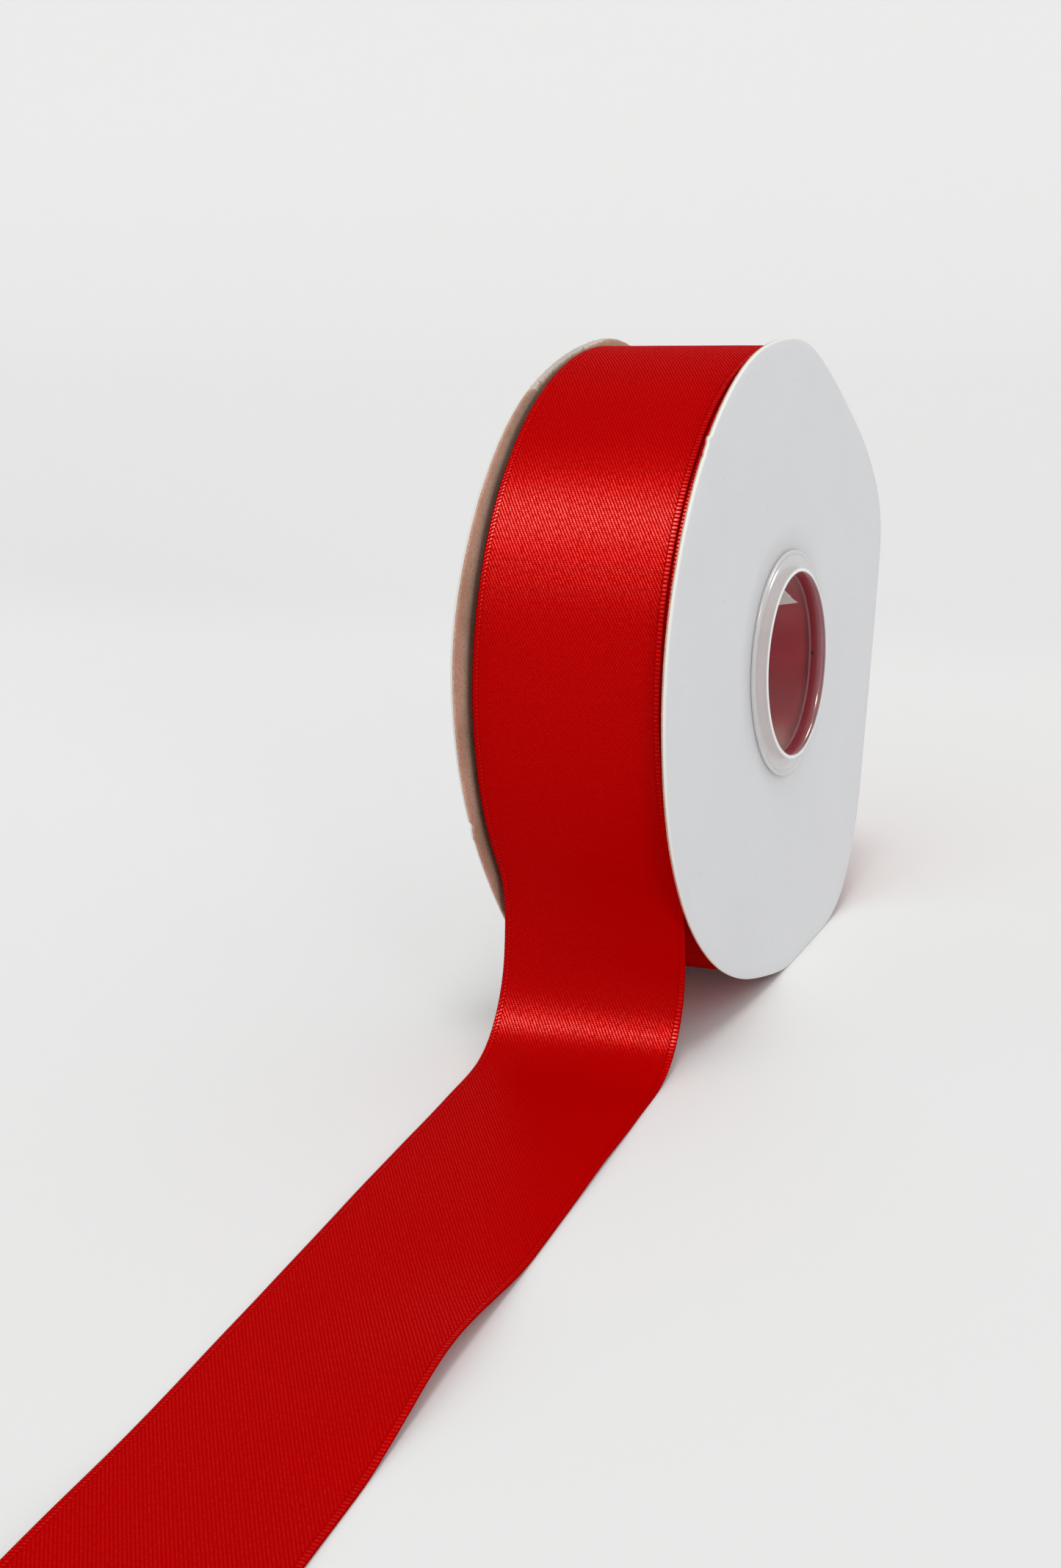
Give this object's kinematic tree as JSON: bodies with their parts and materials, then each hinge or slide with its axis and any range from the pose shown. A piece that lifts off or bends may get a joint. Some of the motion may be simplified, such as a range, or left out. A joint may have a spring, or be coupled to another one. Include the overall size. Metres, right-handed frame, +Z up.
{
  "type": "ribbon spool",
  "caption": "Satin ribbon wound on a clear flared hub between two paper-faced chipboard flanges, with its free end coming off the front onto the table.",
  "frame": {"origin": "middle of the hub's bore, half way between the two flanges", "axes": "+X along the hub's axis to the right flange, -Y to the front where the ribbon comes off, +Z up from the flat that the spool stands on"},
  "size_m": [0.0571, 0.3555, 0.1308],
  "materials": {
    "clear_plastic": "clear, slightly hazy moulded plastic, polished at the lips",
    "chipboard": "bare brown recycled chipboard with fine fibre specks, matt",
    "white_paper": "smooth coated white paper, nearly matt",
    "paper_tape": "torn white paper tape, matt",
    "red_satin": "satin weave with a strong sheen across the roll, fine diagonal twill line, woven selvedges"
  },
  "bodies": {
    "ribbon_run": {"ribbon_top_wrap": "red_satin", "ribbon_drop": "red_satin"},
    "reel": {"hub_tube": "clear_plastic", "right_board": "chipboard", "right_paper_face": "white_paper", "left_board": "chipboard", "left_paper_face": "white_paper", "start_tape": "paper_tape", "ribbon_pack": "red_satin"},
    "pulled_end": {"ribbon_tail": "red_satin"}
  },
  "joints": [
    {"name": "reel_turn", "type": "hinge", "parent": "ribbon_run", "child": "reel", "pos_m": [0, 0, 0], "axis": [1, 0, 0], "range_deg": [0, 90]},
    {"name": "ribbon_pull", "type": "slide", "parent": "ribbon_run", "child": "pulled_end", "axis": [0.068, -0.9977, 0], "range_m": [0, 0.1]}
  ],
  "couplings": [
    {"joint": "ribbon_pull", "follows": "reel_turn", "m_per_rad": 0.0636}
  ]
}
